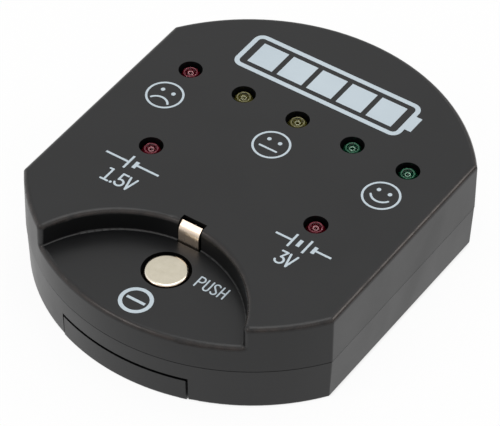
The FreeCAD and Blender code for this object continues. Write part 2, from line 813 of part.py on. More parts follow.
def make_screws(label, spots, head, head_height, seat, shank, tip, upright):
    """A group of screws; upright ones have the head on top, the others are driven from below."""
    body = new_body(label, many=True)
    heads = new_sketch(body, "XY_Plane", seat)
    shanks = new_sketch(body, "XY_Plane", seat)
    for x, y in spots:
        add_circle(heads, x, y, head)
        add_circle(shanks, x, y, shank)
    pad(body, heads, head_height, down=not upright)
    pad(body, shanks, (seat - tip) if upright else (tip - seat), down=upright)


make_top_cover()
make_base_shell()
make_battery_door()
make_circuit_board()
for led_name, led_x, led_y in LIGHTS:
    make_light(led_name, led_x, led_y)
make_led_leads()
make_contact_button()
make_button_spring()
make_side_contact()
make_coin_cell()
make_cell_plus_clip()
make_cell_minus_spring()
make_controller_chip()
make_chip_legs()
resistor_spots = [(x, dim["resistor_row"]) for name, x, y in LIGHTS[:5]]
resistor_spots += both_sides(dim["kind_light_x"], dim["resistor_front"])
make_blocks("resistors", resistor_spots, dim["resistor_height"])
make_blocks("capacitors", both_sides(dim["capacitor_x"], dim["capacitor_y"]), dim["capacitor_height"])
make_screws("case_screws", boss_spots, dim["screw_head"], dim["screw_head_height"], dim["screw_seat"],
            dim["screw_shank"], dim["screw_tip"], upright=False)
make_screws("board_screws", post_spots, dim["small_head"], dim["small_head_height"], board_top,
            dim["small_shank"], dim["small_tip"], upright=True)
doc.recompute()

for item in doc.Objects:
    if "Invalid" in item.State or "Error" in item.State:
        raise RuntimeError("failed: " + item.Label + " " + str(item.State))
for body in bodies:
    shape = body.Shape
    if shape.isNull() or not shape.isValid():
        raise RuntimeError("bad shape: " + body.Label)

os.makedirs("parts", exist_ok=True)
for body in bodies:
    body.Shape.exportStep("parts/" + body.Label + ".step")
    print(body.Label, len(body.Shape.Solids), "solids", round(body.Shape.Volume, 2), "mm3")
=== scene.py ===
# %% [markdown]
# # A pocket tester for button cells
# A cell is laid in the sunken seat at the front, pressed onto the round contact and held against the bent
# strip. The lights behind it tell how full it is. The solids, their sizes and their joints come ready
# from the construction model, so this lesson is about the looks: the dark moulded case, the plated
# contacts, the lamps in their wells, the printed signs, and a photograph-like view of them.

# %% Load the construction model
import math

import bmesh
import bpy
from mathutils import Matrix, Quaternion, Vector


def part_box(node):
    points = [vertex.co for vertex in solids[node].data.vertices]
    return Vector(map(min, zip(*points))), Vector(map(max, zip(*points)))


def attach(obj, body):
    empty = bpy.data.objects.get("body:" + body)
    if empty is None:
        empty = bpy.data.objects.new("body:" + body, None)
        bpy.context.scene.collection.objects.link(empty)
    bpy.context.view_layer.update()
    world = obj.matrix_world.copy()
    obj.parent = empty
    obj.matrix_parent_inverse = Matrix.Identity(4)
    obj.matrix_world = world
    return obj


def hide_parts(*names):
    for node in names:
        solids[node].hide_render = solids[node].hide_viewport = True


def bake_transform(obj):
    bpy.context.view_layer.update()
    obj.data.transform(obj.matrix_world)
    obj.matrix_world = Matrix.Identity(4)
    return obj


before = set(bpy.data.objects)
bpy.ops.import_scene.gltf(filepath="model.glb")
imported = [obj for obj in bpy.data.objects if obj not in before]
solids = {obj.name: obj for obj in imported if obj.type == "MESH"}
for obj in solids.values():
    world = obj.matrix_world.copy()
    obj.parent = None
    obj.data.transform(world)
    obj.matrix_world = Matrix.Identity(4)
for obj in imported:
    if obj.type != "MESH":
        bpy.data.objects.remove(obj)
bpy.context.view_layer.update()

MM = 0.001

# %% [markdown]
# ## Tools for nodes
# Every finish is a node material. Nodes can be added by hand in the editor; in a script the same few
# lines come back for each node, so one helper adds a node with its settings and plugs sockets in by name.
# Short helpers on top of it do a sum, carry a value from one span over to another, and mix colours.

# %% Helpers that add nodes
def add_node(tree, kind, sockets=None, **settings):
    """Adds a node; a socket in the list is linked if it gets another node's output, and set if not."""
    node = tree.nodes.new(kind)
    for name, value in settings.items():
        setattr(node, name, value)
    for name, value in (sockets or {}).items():
        if isinstance(value, bpy.types.NodeSocket):
            tree.links.new(value, node.inputs[name])
        else:
            node.inputs[name].default_value = value
    return node


def work_out(tree, operation, *values, **settings):
    """The result of a sum with numbers or sockets."""
    terms = dict(enumerate(values))
    return add_node(tree, "ShaderNodeMath", terms, operation=operation, **settings).outputs[0]


def span(tree, value, start, end, low=0.0, high=1.0):
    """Goes from low to high while the value goes from start to end, and no further."""
    ends = {"From Min": start, "From Max": end, "To Min": low, "To Max": high}
    return add_node(tree, "ShaderNodeMapRange", {"Value": value, **ends}).outputs[0]


print("helpers for nodes are ready")

# %% Helpers that mix colours
def mix_colours(tree, share, first, second):
    """Shows the first colour where the share is 0 and the second where it is 1."""
    return add_node(tree, "ShaderNodeMix", {0: share, 6: first, 7: second}, data_type="RGBA").outputs[2]


def ramp_colours(tree, share, stops):
    """Runs through a list of (share, colour) stops."""
    ramp = add_node(tree, "ShaderNodeValToRGB", {"Fac": share})
    points = ramp.color_ramp.elements
    for point, (position, colour) in zip(points, (stops[0], stops[-1])):
        point.position = position
        point.color = (*colour, 1)
    for position, colour in stops[1:-1]:
        points.new(position).color = (*colour, 1)
    return ramp.outputs["Color"]


print("helpers for colours are ready")

# %% [markdown]
# ## Tools for groups and finishes
# An effect that several finishes share is a node group, which is built once and placed in each of them
# with its own values. A finish starts as a new material with its one shader. Colour and roughness are
# plugged into that shader by the same helper each time, and a last helper puts a finish on solids of the
# model.

# %% Helpers that start, end and place a node group
def start_group(name, takes, gives):
    """An empty node group with float or vector inputs and float outputs; returns it with both its ends."""
    group = bpy.data.node_groups.new(name, "ShaderNodeTree")
    for label, kind in takes:
        group.interface.new_socket(label, in_out="INPUT", socket_type="NodeSocket" + kind)
    for label in gives:
        group.interface.new_socket(label, in_out="OUTPUT", socket_type="NodeSocketFloat")
    return group, group.nodes.new("NodeGroupInput").outputs, group.nodes.new("NodeGroupOutput").inputs


def end_group(group, end, results):
    for label, socket in results.items():
        group.links.new(socket, end[label])
    print("group", group.name, "has", len(group.nodes), "nodes")


def use_group(tree, group, sockets):
    return add_node(tree, "ShaderNodeGroup", sockets, node_tree=group).outputs


print("helpers for groups are ready")

# %% Helpers that start, colour and use a finish
def start_finish(name, sockets):
    """A material whose shader has these sockets set; returns it with its tree and its shader."""
    finish = bpy.data.materials.new(name)
    finish.use_nodes = True
    shader = finish.node_tree.nodes["Principled BSDF"]
    for label, value in sockets.items():
        shader.inputs[label].default_value = value
    return finish, finish.node_tree, shader


def coat(tree, shader, colour, roughness):
    tree.links.new(colour, shader.inputs["Base Color"])
    tree.links.new(roughness, shader.inputs["Roughness"])


def add_relief(tree, shader, height, depth, strength):
    bump = add_node(tree, "ShaderNodeBump", {"Height": height, "Distance": depth, "Strength": strength})
    tree.links.new(bump.outputs["Normal"], shader.inputs["Normal"])


def dress(finish, *names):
    for name in names:
        solids[name].data.materials.clear()
        solids[name].data.materials.append(finish)
    print("finish", finish.name, "on", ", ".join(names))


print("helpers for finishes are ready")

# %% [markdown]
# ## Grain of a moulded surface
# The mould of such a case is spark eroded, which leaves fine pits that make the plastic satin. Noise
# gives the uneven pits, a cell texture gives their rims, and a much larger noise stands for faint smears
# from handling. The group is fed with the position on the object, so that the grain has a real size in
# metres.

# %% Node group: moulded grain
PITS_TO_A_SMEAR = 50
NOISE_SPAN = (0.3, 0.7)

moulded_grain, grain_in, grain_out = start_group(
    "moulded_grain", [("Place", "Vector"), ("Size", "Float"), ("Smooth", "Float"), ("Rough", "Float")],
    ["Height", "Roughness", "Shade"])
per_metre = work_out(moulded_grain, "DIVIDE", 1.0, grain_in["Size"])
per_smear = work_out(moulded_grain, "MULTIPLY", per_metre, 1 / PITS_TO_A_SMEAR)
pits = add_node(moulded_grain, "ShaderNodeTexNoise",
                {"Vector": grain_in["Place"], "Scale": per_metre, "Detail": 3.0, "Roughness": 0.6})
rims = add_node(moulded_grain, "ShaderNodeTexVoronoi",
                {"Vector": grain_in["Place"], "Scale": per_metre}, feature="SMOOTH_F1")
handled = add_node(moulded_grain, "ShaderNodeTexNoise",
                   {"Vector": grain_in["Place"], "Scale": per_smear, "Detail": 4.0, "Distortion": 0.6})
smears = handled.outputs["Fac"]
end_group(moulded_grain, grain_out, {
    "Height": work_out(moulded_grain, "ADD", pits.outputs["Fac"], rims.outputs["Distance"]),
    "Roughness": span(moulded_grain, smears, *NOISE_SPAN, grain_in["Smooth"], grain_in["Rough"]),
    "Shade": smears})

# %% Helper that lays the grain on a finish
def lay_grain(tree, size, smooth, rough):
    """Places the grain in a finish and returns what the group puts out."""
    place = add_node(tree, "ShaderNodeTexCoord").outputs["Object"]
    return use_group(tree, moulded_grain, {"Place": place, "Size": size, "Smooth": smooth, "Rough": rough})


print("the grain's smears are", PITS_TO_A_SMEAR, "pits wide")

# %% [markdown]
# ## Rubbed and lit edges
# Fingers polish a case where its faces turn over into each other. Those places could be painted by hand.
# Here the surface direction finds them: on the flat top it points up, on a wall it points sideways, and
# only the roundings lie between the two. A noise breaks the band up. Its paler colour is partly wear and
# partly a painted highlight.

# %% Node group: rubbed and lit edges
# How far up a face points goes from 0 on a wall to 1 on the top.
OFF_THE_WALL = (0.15, 0.5)
OFF_THE_TOP = (0.97, 0.75)
PATCHES_PER_METRE = 700.0
PATCH_SPAN = (0.25, 0.6)

rubbed_and_lit_edge, rub_and_light_in, rub_and_light_out = start_group(
    "rubbed_and_lit_edge", [("Place", "Vector"), ("Facing", "Vector")], ["Rubbed and lit"])
upward = add_node(rubbed_and_lit_edge, "ShaderNodeSeparateXYZ", {"Vector": rub_and_light_in["Facing"]}).outputs["Z"]
rounding = work_out(rubbed_and_lit_edge, "MULTIPLY", span(rubbed_and_lit_edge, upward, *OFF_THE_WALL),
                    span(rubbed_and_lit_edge, upward, *OFF_THE_TOP))
patches = add_node(rubbed_and_lit_edge, "ShaderNodeTexNoise",
                   {"Vector": rub_and_light_in["Place"], "Scale": PATCHES_PER_METRE, "Detail": 4.0})
uneven = span(rubbed_and_lit_edge, patches.outputs["Fac"], *PATCH_SPAN)
end_group(rubbed_and_lit_edge, rub_and_light_out, {"Rubbed and lit": work_out(rubbed_and_lit_edge, "MULTIPLY", rounding, uneven)})

# %% [markdown]
# ## The case
# Black plastic is hardly ever pure black: this one is a very dark, slightly cool grey, and most of what
# is seen of it is the pale room mirrored weakly in its satin skin. The colour is kept low, the shine
# moderate, and the two groups add the grain and the rubbed edges, whose paler band is partly wear and partly
# a painted highlight. Around the level of the seat's narrow root, where no finger reaches, the band is left
# out.

# %% Finish: dark moulded plastic
PLASTIC_IOR = 1.43
CASE_GRAIN = 0.28 * MM
# The satin skin's roughness varies, and a rubbed place is smoother.
SATIN, POLISHED = (0.31, 0.4), 0.22
GRAIN_DEPTH, GRAIN_STRENGTH = 0.012 * MM, 0.35
DARK_PLASTIC, PALE_PLASTIC = (0.0018, 0.002, 0.0023), (0.004, 0.0043, 0.0048)
# The paler colour of a rubbed rounding: partly wear, partly a painted highlight.
RUBBED_AND_LIT_PLASTIC = (0.024, 0.019, 0.017)
SEAT_ROOT = 12.95 * MM
OFF_THE_ROOT = (0.14 * MM, 0.3 * MM)

case_plastic, case_tree, case_shader = start_finish("case_plastic", {"IOR": PLASTIC_IOR})
case_grain = lay_grain(case_tree, CASE_GRAIN, *SATIN)
case_place = add_node(case_tree, "ShaderNodeTexCoord").outputs
edges = use_group(case_tree, rubbed_and_lit_edge, {"Place": case_place["Object"], "Facing": case_place["Normal"]})
case_height = add_node(case_tree, "ShaderNodeSeparateXYZ", {"Vector": case_place["Object"]}).outputs["Z"]
from_root = work_out(case_tree, "ABSOLUTE", work_out(case_tree, "SUBTRACT", case_height, SEAT_ROOT))
# Mask of the rubbed band with its painted highlight, left out near the seat's root.
rubbed_and_lit = work_out(case_tree, "MULTIPLY", edges["Rubbed and lit"], span(case_tree, from_root, *OFF_THE_ROOT))
plain_plastic = ramp_colours(case_tree, case_grain["Shade"], [(0, DARK_PLASTIC), (1, PALE_PLASTIC)])
coat(case_tree, case_shader, mix_colours(case_tree, rubbed_and_lit, plain_plastic, (*RUBBED_AND_LIT_PLASTIC, 1)),
     span(case_tree, rubbed_and_lit, 0.0, 1.0, case_grain["Roughness"], POLISHED))
add_relief(case_tree, case_shader, case_grain["Height"], GRAIN_DEPTH, GRAIN_STRENGTH)
dress(case_plastic, "top_cover", "base_shell", "battery_door")

# %% [markdown]
# ## Lines in rolled and turned metal
# The round contact and the strip are nickel-plated sheet. Nickel is a warm grey metal, and rolled or
# turned stock keeps fine lines. They could be painted on an image; a noise that is stretched along one
# axis draws them at any distance. It drives a little of the roughness and the relief, and a second noise
# stains the colour.

# %% Node group: drawn lines
STAINS_PER_METRE = 900.0

drawn_lines, lines_in, lines_out = start_group(
    "drawn_lines", [("Place", "Vector"), ("Stretch", "Vector"), ("Smooth", "Float"), ("Rough", "Float")],
    ["Height", "Roughness", "Shade"])
pulled = add_node(drawn_lines, "ShaderNodeVectorMath", {0: lines_in["Place"], 1: lines_in["Stretch"]},
                  operation="MULTIPLY").outputs[0]
lines = add_node(drawn_lines, "ShaderNodeTexNoise",
                 {"Vector": pulled, "Scale": 1.0, "Detail": 5.0, "Roughness": 0.65}).outputs["Fac"]
stains = add_node(drawn_lines, "ShaderNodeTexNoise",
                  {"Vector": lines_in["Place"], "Scale": STAINS_PER_METRE, "Detail": 3.0}).outputs["Fac"]
end_group(drawn_lines, lines_out, {
    "Height": lines,
    "Roughness": span(drawn_lines, lines, *NOISE_SPAN, lines_in["Smooth"], lines_in["Rough"]),
    "Shade": stains})

# %% [markdown]
# ## Plated contacts
# All the metals share one recipe and differ in colour and in the way their lines run. The round contact's
# edge mirrors the dark hole that it stands in, so below a bright line it gets darker. A sharper mirror would
# show that by itself, but the satin plating is too soft for it, so the levels of the rim carry a painted
# reflection: a painted highlight line and, below it, the painted dark of the hole.

# %% Finish: plated metal
LINE_DEPTH, LINE_STRENGTH = 0.004 * MM, 0.1
FACE_EDGE = 0.025


def paint_rim_reflection(tree, place, colour, rim):
    """Paints a reflection onto a rim's levels up to the last one, and above it gives the colour that is
    handed in.
    """
    height = add_node(tree, "ShaderNodeSeparateXYZ", {"Vector": place}).outputs["Z"]
    bottom, top = rim[0][0], rim[-1][0]
    climb = span(tree, height, bottom * MM, top * MM)
    stops = [((level - bottom) / (top - bottom), shade) for level, shade in rim]
    face = span(tree, height, top * MM, (top + FACE_EDGE) * MM)
    return mix_colours(tree, face, ramp_colours(tree, climb, stops), colour)


def plated_metal(name, dark, pale, stretch, smooth, rough, rim=None):
    """Metal with drawn lines. A rim gets a painted reflection by height, as a list of (level in mm, colour).
    """
    finish, tree, shader = start_finish(name, {"Metallic": 1.0})
    place = add_node(tree, "ShaderNodeTexCoord").outputs["Object"]
    drawn = use_group(tree, drawn_lines,
                      {"Place": place, "Stretch": stretch, "Smooth": smooth, "Rough": rough})
    colour = ramp_colours(tree, drawn["Shade"], [(0, dark), (1, pale)])
    if rim:
        colour = paint_rim_reflection(tree, place, colour, rim)
    coat(tree, shader, colour, drawn["Roughness"])
    add_relief(tree, shader, drawn["Height"], LINE_DEPTH, LINE_STRENGTH)
    return finish


print("the recipe for plated metal is ready")

# %% Put nickel on the contacts
# The rim's colours are a painted reflection: a painted highlight line near the top, the painted dark of the
# hole below.
BUTTON_RIM_REFLECTION = [(12.1, (0.02, 0.018, 0.015)), (12.3, (0.2, 0.13, 0.085)), (12.5, (0.5, 0.34, 0.23)),
              (12.68, (0.68, 0.54, 0.41)), (12.76, (0.88, 0.83, 0.74)), (12.81, (0.78, 0.73, 0.62))]

turned_nickel = plated_metal("turned_nickel", dark=(0.545, 0.5, 0.395), pale=(0.665, 0.615, 0.505),
                             stretch=(750, 750, 5200), smooth=0.22, rough=0.27, rim=BUTTON_RIM_REFLECTION)
# The strip's nickel is lighter and warmer than the other nickel: its own colour with a painted warm
# reflection in it.
rolled_nickel_sheen = plated_metal("rolled_nickel_sheen", dark=(0.8, 0.67, 0.54), pale=(0.9, 0.77, 0.64),
                             stretch=(5200, 2400, 700), smooth=0.26, rough=0.4)
nickel = plated_metal("nickel_plate", dark=(0.58, 0.535, 0.42), pale=(0.68, 0.635, 0.52),
                      stretch=(900, 5200, 2400), smooth=0.2, rough=0.3)
dress(turned_nickel, "contact_button")
dress(rolled_nickel_sheen, "side_contact")
dress(nickel, "cell_plus_clip", "cell_minus_spring")

# %% [markdown]
# ## Zinc and tin
# The screws, the spring and the can of the coin cell are steel with a grey plating, and the wire legs are
# tinned so that they take solder. Both could share one grey, but zinc is duller, and the lines of drawn
# wire run up the legs.

# %% Put zinc and tin on the small parts
zinc = plated_metal("zinc_plate", dark=(0.42, 0.42, 0.42), pale=(0.58, 0.58, 0.57),
                    stretch=(2600, 2600, 2600), smooth=0.25, rough=0.42)
tin = plated_metal("tinned_wire", dark=(0.5, 0.5, 0.49), pale=(0.64, 0.64, 0.62),
                   stretch=(3000, 3000, 800), smooth=0.25, rough=0.4)
dress(zinc, "button_spring", "coin_cell", "case_screws", "board_screws")
dress(tin, "led_leads", "chip_legs")

# %% [markdown]
# ## The board
# With the door off, a strip of the board can be seen past the coin cell. Its green varnish shows the
# copper tracks as paler, raised lines. Tracks could be modelled one by one, but hardly any are seen, so a
# wave texture that is cut hard draws them.

# %% Finish: varnish over copper tracks
VARNISH_IOR = 1.5
VARNISH_GRAIN, VARNISH_SHINE = 0.4 * MM, (0.2, 0.35)
WAVE_SCALE = 95.0
TRACK_EDGE = (0.55, 0.6)
TRACK_DEPTH, TRACK_STRENGTH = 0.03 * MM, 0.5
BARE_GREEN, TRACK_GREEN = (0.006, 0.05, 0.018), (0.015, 0.11, 0.04)

varnish, board_tree, board_shader = start_finish("board_varnish", {"IOR": VARNISH_IOR})
board_place = add_node(board_tree, "ShaderNodeTexCoord").outputs["Object"]
wave = add_node(board_tree, "ShaderNodeTexWave",
                {"Vector": board_place, "Scale": WAVE_SCALE, "Distortion": 3.0, "Detail": 1.0})
tracks = span(board_tree, wave.outputs["Fac"], *TRACK_EDGE)
board_grain = lay_grain(board_tree, VARNISH_GRAIN, *VARNISH_SHINE)
coat(board_tree, board_shader, ramp_colours(board_tree, tracks, [(0, BARE_GREEN), (1, TRACK_GREEN)]),
     board_grain["Roughness"])
add_relief(board_tree, board_shader, tracks, TRACK_DEPTH, TRACK_STRENGTH)
dress(varnish, "circuit_board")

# %% [markdown]
# ## Parts on the board
# The chip and the resistors are moulded in black epoxy and the capacitors are fired ceramic. All of them
# are plain bodies with a fine grain, so one recipe does for them, and later for the lamps' cores and the
# ink too.

# %% Finishes: epoxy and ceramic
SKIN_DEPTH, SKIN_STRENGTH = 0.01 * MM, 0.3


def grained(name, dark, pale, size, smooth, rough, ior=1.5):
    finish, tree, shader = start_finish(name, {"IOR": ior})
    grain = lay_grain(tree, size, smooth, rough)
    coat(tree, shader, ramp_colours(tree, grain["Shade"], [(0, dark), (1, pale)]), grain["Roughness"])
    add_relief(tree, shader, grain["Height"], SKIN_DEPTH, SKIN_STRENGTH)
    return finish


epoxy = grained("moulded_epoxy", dark=(0.012, 0.012, 0.012), pale=(0.022, 0.022, 0.022),
                size=0.2 * MM, smooth=0.45, rough=0.6)
ceramic = grained("fired_ceramic", dark=(0.3, 0.21, 0.11), pale=(0.42, 0.31, 0.18),
                  size=0.3 * MM, smooth=0.5, rough=0.65)
dress(epoxy, "controller_chip", "resistors")
dress(ceramic, "capacitors")

# %% [markdown]
# ## From a bmesh to a piece
# New shapes are made with bmesh operators, which work without the editor and leave nothing selected. When
# a shape is done, its doubled points are merged, its faces are turned outwards, and it becomes an object
# that rides on a body of the model.

# %% Helper that hands over a piece
MERGE_DISTANCE = 1e-8


def clean(shape):
    bmesh.ops.remove_doubles(shape, verts=shape.verts, dist=MERGE_DISTANCE)
    bmesh.ops.recalc_face_normals(shape, faces=shape.faces)


def make_piece(name, shape, body, *finishes):
    """Turns a bmesh into a piece with these finishes; without a body, the piece is left unattached."""
    clean(shape)
    mesh = bpy.data.meshes.new(name)
    shape.to_mesh(mesh)
    shape.free()
    piece = bpy.data.objects.new(name, mesh)
    bpy.context.scene.collection.objects.link(piece)
    for finish in finishes:
        mesh.materials.append(finish)
    if body:
        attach(piece, body)
    print(name, "has", len(mesh.polygons), "faces")
    return piece


print("points nearer than", MERGE_DISTANCE, "m are merged")

# %% [markdown]
# ## Shape of a lamp
# Each lamp is a clear resin body with a round dome, level with the case. Inside sits the tinted core with
# a pit, and in the pit the small cup that holds the crystal. The dome works as a lens and shows the cup
# as a bright ring. Cylinders and spheres could be put together for that, but spinning an outline of a few
# points about the lamp's axis, as a lathe would turn it, gives each part in one go.

# %% Outlines of a lamp, as (radius, level from the case's top) in mm
PIT = [(0, -1.5), (0.3, -1.5), (0.31, -0.93), (0.7, -0.89), (0.8, -0.8), (0.84, -0.64)]
RIM = [(0.84, -0.64), (0.9, -0.54), (1.0, -0.57), (1.08, -0.62)]
SHOULDER = [(1.08, -0.62), (1.32, -0.78), (1.45, -0.97), (1.52, -1.16), (1.55, -3.35), (0, -3.35)]
CUP = [(0.32, -0.93), (0.335, -0.74), (0.37, -0.71), (0.405, -0.74), (0.42, -0.93)]
LENS_RADIUS, LENS_HEIGHT, ARC_STEPS = 1.65, 4.0, 16
ARC = [(LENS_RADIUS * math.cos(angle), LENS_RADIUS * (math.sin(angle) - 1))
       for angle in (math.pi / 2 * step / ARC_STEPS for step in range(ARC_STEPS))]
DOME = [(0, -LENS_HEIGHT), (LENS_RADIUS, -LENS_HEIGHT)] + ARC + [(0, 0)]
print("a lamp is", 2 * LENS_RADIUS, "mm wide and", LENS_HEIGHT, "mm high, in", len(DOME), "points")

# %% [markdown]
# ## Turning the lamps
# Blender's spin copies an outline step by step round an axis. It could be run by hand for each of the
# seven lamps; a helper runs it for every lamp of one colour and keeps the result as one shape. The axes
# come from the construction model, so the lamps stay in their wells.

# %% Helpers that spin outlines
CASE_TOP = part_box("top_cover")[1].z / MM


def turn(shape, outline, x, y, steps, finish):
    """Spins (radius, level) points, in mm, once round the upright axis through x, y.

    The new faces are smooth and get the finish of that number.
    """
    points = [shape.verts.new(((x + radius) * MM, y * MM, level * MM)) for radius, level in outline]
    joined = [shape.edges.new(pair) for pair in zip(points, points[1:])]
    known = set(shape.faces)
    bmesh.ops.spin(shape, geom=points + joined, cent=(x * MM, y * MM, 0), axis=(0, 0, 1),
                   angle=2 * math.pi, steps=steps, use_merge=True)
    for face in shape.faces:
        if face not in known:
            face.material_index = finish
            face.smooth = True


def turn_lamps(names, outlines, steps):
    """One shape with these outlines spun about the axis of every named lamp, each with its own finish."""
    shape = bmesh.new()
    for name in names:
        axis = sum(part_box(name), Vector()) / 2 / MM
        for number, outline in enumerate(outlines):
            raised = [(radius, CASE_TOP + level) for radius, level in outline]
            turn(shape, raised, axis.x, axis.y, steps, number)
    return shape


print("the lamps reach up to", round(CASE_TOP, 2), "mm")

# %% [markdown]
# ## Colours of the lamps
# The resin is tinted only slightly; the colour comes from the core. A glass shader with the full index of
# resin would veil the core with the mirrored room, because each shader reckons with air around it, while
# the real resin touches the core. Low indices on both take that veil away, and the dome's highlights with
# it, so the paler rim of the core carries a painted highlight in their place.

# %% Finish: clear resin
RESIN_IOR, RESIN_CLOUD = 1.15, 0.92
RESIN_GRAIN, RESIN_SHINE = 0.9 * MM, (0.01, 0.04)


def clouded(colour, share):
    return [part * share for part in colour]


def clear_resin(name, tint):
    finish, tree, shader = start_finish(name, {"Transmission Weight": 1.0, "IOR": RESIN_IOR})
    grain = lay_grain(tree, RESIN_GRAIN, *RESIN_SHINE)
    colour = ramp_colours(tree, grain["Shade"], [(0, clouded(tint, RESIN_CLOUD)), (1, tint)])
    coat(tree, shader, colour, grain["Roughness"])
    return finish


print("resin bends light with an index of", RESIN_IOR)

# %% [markdown]
# ## The seven lamps
# There are three red lamps, two yellow and two green ones. Each colour gets one piece for its domes,
# which takes the place of the plain bodies, and one for its cores with three finishes: the dark core, the
# rim of the pit, paler with a painted highlight, and the cup. A piece for each lamp would work too, but
# lamps of one colour share all their finishes.

# %% Make the lamps
# A rim colour is a painted highlight that stands in for the dome's own highlight arc.
LAMP_COLOURS = {
    "red": {"resin": (1.0, 0.75, 0.8), "core": (0.055, 0.0004, 0.005),
            "rim": (0.19, 0.065, 0.08), "cup": (0.52, 0.34, 0.35)},
    "yellow": {"resin": (1.0, 0.98, 0.85), "core": (0.06, 0.055, 0.012),
               "rim": (0.19, 0.185, 0.11), "cup": (0.42, 0.43, 0.32)},
    "green": {"resin": (0.8, 1.0, 0.9), "core": (0.0006, 0.024, 0.012),
              "rim": (0.06, 0.145, 0.1), "cup": (0.36, 0.5, 0.42)},
}
CORE_IOR, CORE_CLOUD = 1.06, 0.8
CORE_GRAIN, CORE_SHINE = 0.5 * MM, (0.3, 0.45)
DOME_STEPS, CORE_STEPS = 48, 40

for colour, shades in LAMP_COLOURS.items():
    lamps = sorted(name for name in solids if name.startswith("led_" + colour))
    resin = clear_resin(colour + "_resin", shades["resin"])
    dress(resin, *lamps)
    domes = make_piece(colour + "_lamp_domes", turn_lamps(lamps, [DOME], DOME_STEPS), "case", resin)
    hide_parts(*lamps)
    inner = [grained(colour + "_" + part, clouded(shades[part], CORE_CLOUD), shades[part],
                     CORE_GRAIN, *CORE_SHINE, CORE_IOR) for part in ("core", "rim", "cup")]
    core_shape = turn_lamps(lamps, [PIT + SHOULDER, RIM, CUP], CORE_STEPS)
    cores = make_piece(colour + "_lamp_cores", core_shape, "case", *inner)

# %% [markdown]
# ## Spring under the contact
# A coil of steel wire lifts the minus contact and gets shorter when the contact is pressed. The wire's
# section is spun along a screw line. A curve with a round bevel would give the same coil, but the spin
# makes a mesh that can be blended.

# %% Make the coil spring
WIRE, WIRE_SIDES = 0.25 * MM, 12
TURNS, STEPS_PER_TURN = 3.25, 40

low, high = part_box("button_spring")
middle = (low + high) / 2
coil = bmesh.new()
upright = Matrix.Rotation(math.pi / 2, 4, "X")
foot_of_wire = Matrix.Translation((high.x - WIRE, middle.y, low.z + WIRE))
bmesh.ops.create_circle(coil, segments=WIRE_SIDES, radius=WIRE, matrix=foot_of_wire @ upright)
climb = (high.z - low.z - 2 * WIRE) / (TURNS * STEPS_PER_TURN)
bmesh.ops.spin(coil, geom=coil.verts[:] + coil.edges[:], cent=middle, axis=(0, 0, 1), dvec=(0, 0, climb),
               angle=2 * math.pi * TURNS, steps=round(TURNS * STEPS_PER_TURN))
bmesh.ops.holes_fill(coil, edges=[edge for edge in coil.edges if edge.is_boundary])
for face in coil.faces:
    face.smooth = len(face.verts) < WIRE_SIDES  # The two ends of the wire stay flat.
coil_spring = make_piece("coil_spring", coil, None, zinc)
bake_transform(coil_spring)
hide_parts("button_spring")

# %% [markdown]
# ## Recess of a case screw
# Four screws hold the halves together from below. In the construction model each is a plain head and
# shank, and a new piece takes their place. A disc is cut along eight lines, so that its middle faces make
# a cross, and the cross is pushed in. A boolean with a cross-shaped tool would give the same recess, but
# leaves a less even mesh.

# %% Cut the cross into a disc
HEAD_RADIUS, HEAD_SIDES = 2.0, 48
ARM, SLIT, RECESS = 1.15, 0.22, 0.8


def points_of(geometry):
    return [part for part in geometry if isinstance(part, bmesh.types.BMVert)]


def edges_of(geometry):
    return [part for part in geometry if isinstance(part, bmesh.types.BMEdge)]


def all_of(shape):
    return shape.verts[:] + shape.edges[:] + shape.faces[:]


screws = bmesh.new()
bmesh.ops.create_circle(screws, cap_ends=True, segments=HEAD_SIDES, radius=HEAD_RADIUS * MM)
for axis in ((1, 0, 0), (0, 1, 0)):
    for offset in (-ARM, -SLIT, SLIT, ARM):
        cut = Vector(axis) * offset * MM
        bmesh.ops.bisect_plane(screws, geom=all_of(screws), plane_co=cut, plane_no=axis)
head_rim = [edge for edge in screws.edges if edge.is_boundary]
cross = []
for face in screws.faces:
    across, along = sorted(abs(part) / MM for part in face.calc_center_median()[:2])
    if across < SLIT and along < ARM:
        cross.append(face)
pushed = bmesh.ops.extrude_face_region(screws, geom=cross)["geom"]
bmesh.ops.translate(screws, verts=points_of(pushed), vec=(0, 0, RECESS * MM))
print("a cross of", len(cross), "faces is", RECESS, "mm deep")

# %% [markdown]
# ## Head and shank of a case screw
# The open rim of the disc becomes the rest of the screw: it is pulled up to the height of the head, drawn
# in to the shank, pulled on to its full length and narrowed to the tip. A cylinder for the head and one
# for the shank would do as well, but then the two would have to be joined. A bevel rounds the head.

# %% Pull the rim into a screw
SHANK_RADIUS, TIP_SHARE = 1.1, 0.3
HEAD_HEIGHT, SHANK_LENGTH, TIP_LENGTH = 1.4, 9.2, 0.8
HEAD_ROUNDING = 0.35
FLAT_WITHIN = 1.3


def pull(shape, rim, rise, widen):
    """Extrudes an open rim about the upright axis through the origin and returns the new rim."""
    grown = bmesh.ops.extrude_edge_only(shape, edges=rim)["geom"]
    bmesh.ops.translate(shape, verts=points_of(grown), vec=(0, 0, rise * MM))
    bmesh.ops.scale(shape, verts=points_of(grown), vec=(widen, widen, 1))
    return [edge for edge in edges_of(grown) if edge.is_boundary]


open_rim = head_rim
for rise, widen in ((HEAD_HEIGHT, 1), (0, SHANK_RADIUS / HEAD_RADIUS), (SHANK_LENGTH, 1),
                    (TIP_LENGTH, TIP_SHARE)):
    open_rim = pull(screws, open_rim, rise, widen)
bmesh.ops.holes_fill(screws, edges=open_rim)
bmesh.ops.bevel(screws, geom=head_rim, offset=HEAD_ROUNDING * MM, segments=4, profile=0.5, affect="EDGES",
                material=-1)
for face in screws.faces:
    face.smooth = face.calc_center_median().xy.length > FLAT_WITHIN * MM
print("one screw has", len(screws.faces), "faces")

